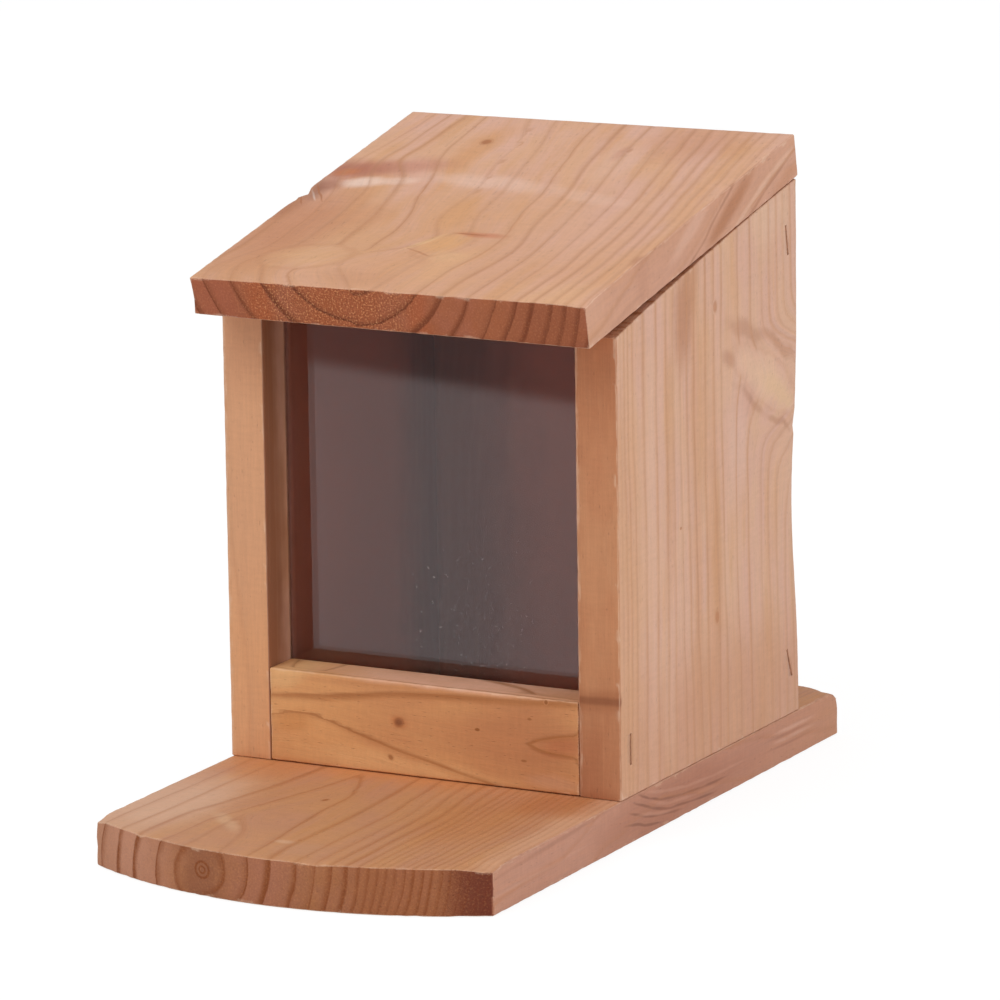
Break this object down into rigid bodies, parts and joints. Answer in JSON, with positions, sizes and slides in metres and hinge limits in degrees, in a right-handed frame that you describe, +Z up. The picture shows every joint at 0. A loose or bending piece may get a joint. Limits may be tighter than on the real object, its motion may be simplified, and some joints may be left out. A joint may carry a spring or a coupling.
{
  "type": "squirrel feeder box",
  "caption": "Small bare-wood squirrel feeder: a box with a clear front window and a hinged sloping lid, on a bow-fronted base board that forms the feeding tray.",
  "frame": {"origin": "middle of the overall width and depth, on the base board's underside", "axes": "+X to the right as seen from the front, +Y to the rear, +Z up; the window and tray face -Y"},
  "size_m": [0.125, 0.2358, 0.1844],
  "materials": {
    "base_wood": "bare sawn softwood, pinkish tan",
    "side_wood": "bare planed softwood, pale pinkish tan",
    "back_wood": "bare planed softwood, tan",
    "rail_wood": "bare planed softwood, orange tan",
    "lid_wood": "bare sawn softwood, pinkish tan with reddish end grain",
    "clear_sheet": "clear gloss acrylic sheet",
    "hinge_steel": "zinc-plated pressed steel",
    "screw_steel": "zinc-plated steel",
    "staple_wire": "dull galvanised wire"
  },
  "bodies": {
    "box": {"base_board": "base_wood", "left_side_panel": "side_wood", "right_side_panel": "side_wood", "back_panel": "back_wood", "front_rail": "rail_wood", "window_sheet": "clear_sheet", "left_side_staples": "staple_wire", "right_side_staples": "staple_wire", "base_staples": "staple_wire", "left_hinge_body_leaf": "hinge_steel", "right_hinge_body_leaf": "hinge_steel", "left_hinge_pin": "hinge_steel", "right_hinge_pin": "hinge_steel", "body_hinge_screws": "screw_steel"},
    "lid": {"lid_board": "lid_wood", "left_hinge_lid_leaf": "hinge_steel", "right_hinge_lid_leaf": "hinge_steel", "lid_hinge_screws": "screw_steel"}
  },
  "joints": [
    {"name": "lid_hinge", "type": "hinge", "parent": "box", "child": "lid", "pos_m": [0, 0.0937, 0.16953], "axis": [-1, 0, 0], "range_deg": [0, 105]}
  ]
}
